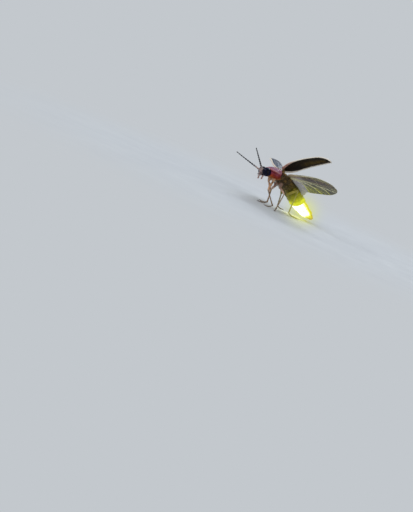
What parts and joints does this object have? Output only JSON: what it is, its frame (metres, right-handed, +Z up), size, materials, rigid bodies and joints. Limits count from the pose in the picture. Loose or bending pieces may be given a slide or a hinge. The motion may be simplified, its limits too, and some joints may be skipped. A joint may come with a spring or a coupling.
{
  "type": "firefly",
  "caption": "Male firefly standing with wing cases raised, hind wings spread and the abdomen's lantern lit; a still life-size display model.",
  "frame": {"origin": "on the floor under the middle of the whole outline, with the soles of the six feet at z = 0", "axes": "+Z up, -Y towards the head, +X towards the insect's left"},
  "size_m": [0.0205, 0.015, 0.0104],
  "materials": {
    "black_cuticle": "satin black-brown cuticle",
    "compound_eye": "glossy blue-black, finely faceted",
    "feeler_cuticle": "dull black with fine hair",
    "mouthpart": "pale brown, slightly translucent",
    "pronotum_cuticle": "rose pink with cream margins, satin",
    "brown_cuticle": "dark brown, finely punctured, satin",
    "abdomen_cuticle": "dark brown with olive edges, satin",
    "lantern_organ": "cream yellow, translucent, glowing",
    "tip_cuticle": "amber, translucent",
    "wing_case": "dark brown leathery with cream edges",
    "wing_membrane": "smoky translucent membrane, raised veins",
    "leg_cuticle": "tan to grey-brown, satin"
  },
  "bodies": {
    "root": {"abdomen": "abdomen_cuticle", "abdomen_tip": "tip_cuticle", "antenna_left": "feeler_cuticle", "antenna_right": "feeler_cuticle", "elytron_left": "wing_case", "elytron_right": "wing_case", "eye_left": "compound_eye", "eye_right": "compound_eye", "head": "black_cuticle", "hindwing_left": "wing_membrane", "hindwing_right": "wing_membrane", "lantern": "lantern_organ", "leg_front_left": "leg_cuticle", "leg_front_right": "leg_cuticle", "leg_hind_left": "leg_cuticle", "leg_hind_right": "leg_cuticle", "leg_mid_left": "leg_cuticle", "leg_mid_right": "leg_cuticle", "palp_left": "mouthpart", "palp_right": "mouthpart", "pronotum": "pronotum_cuticle", "thorax": "brown_cuticle"}
  },
  "joints": []
}
